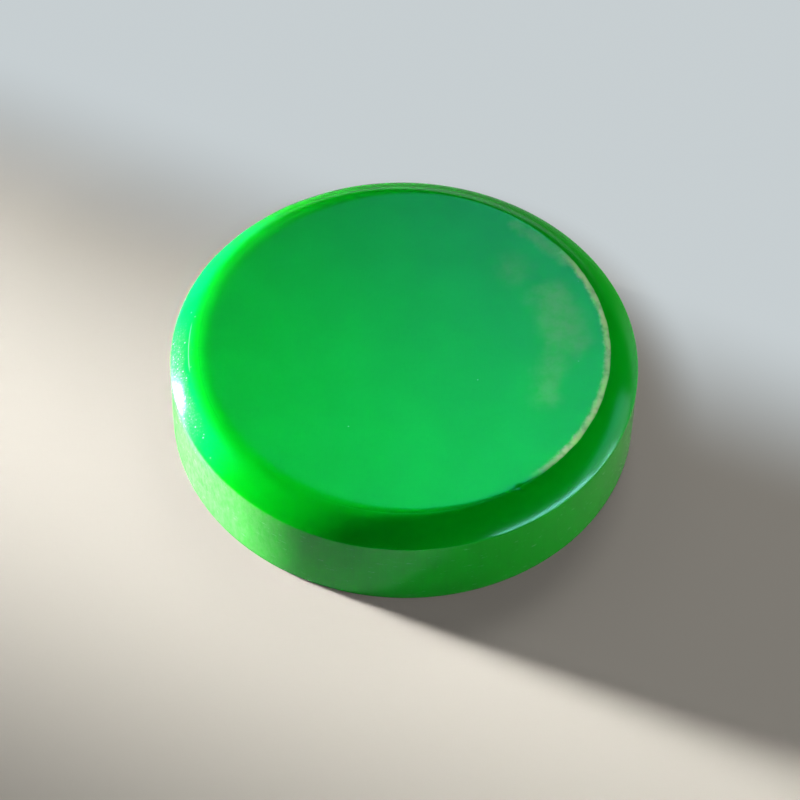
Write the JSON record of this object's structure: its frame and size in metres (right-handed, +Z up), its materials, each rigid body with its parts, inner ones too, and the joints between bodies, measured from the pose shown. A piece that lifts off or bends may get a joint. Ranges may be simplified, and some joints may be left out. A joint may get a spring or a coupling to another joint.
{
  "type": "disc magnet",
  "caption": "Round office magnet: a low glossy green plastic cap with a rounded bevel round its shallow dished top, over a ferrite disc that clamps paper to steel.",
  "frame": {"origin": "centre of the underside, on the plane of the rim that the magnet rests on", "axes": "+Z up along the axis of the disc, out of the dished top face; the disc is round, and +X is to the right and +Y away from the viewer in the picture"},
  "size_m": [0.0206, 0.0206, 0.0046],
  "materials": {
    "green_plastic": "glossy moulded plastic, slightly translucent, with worn edges",
    "ferrite": "matt ground ferrite"
  },
  "bodies": {
    "root": {"cap": "green_plastic", "magnet_disc": "ferrite"}
  },
  "joints": []
}
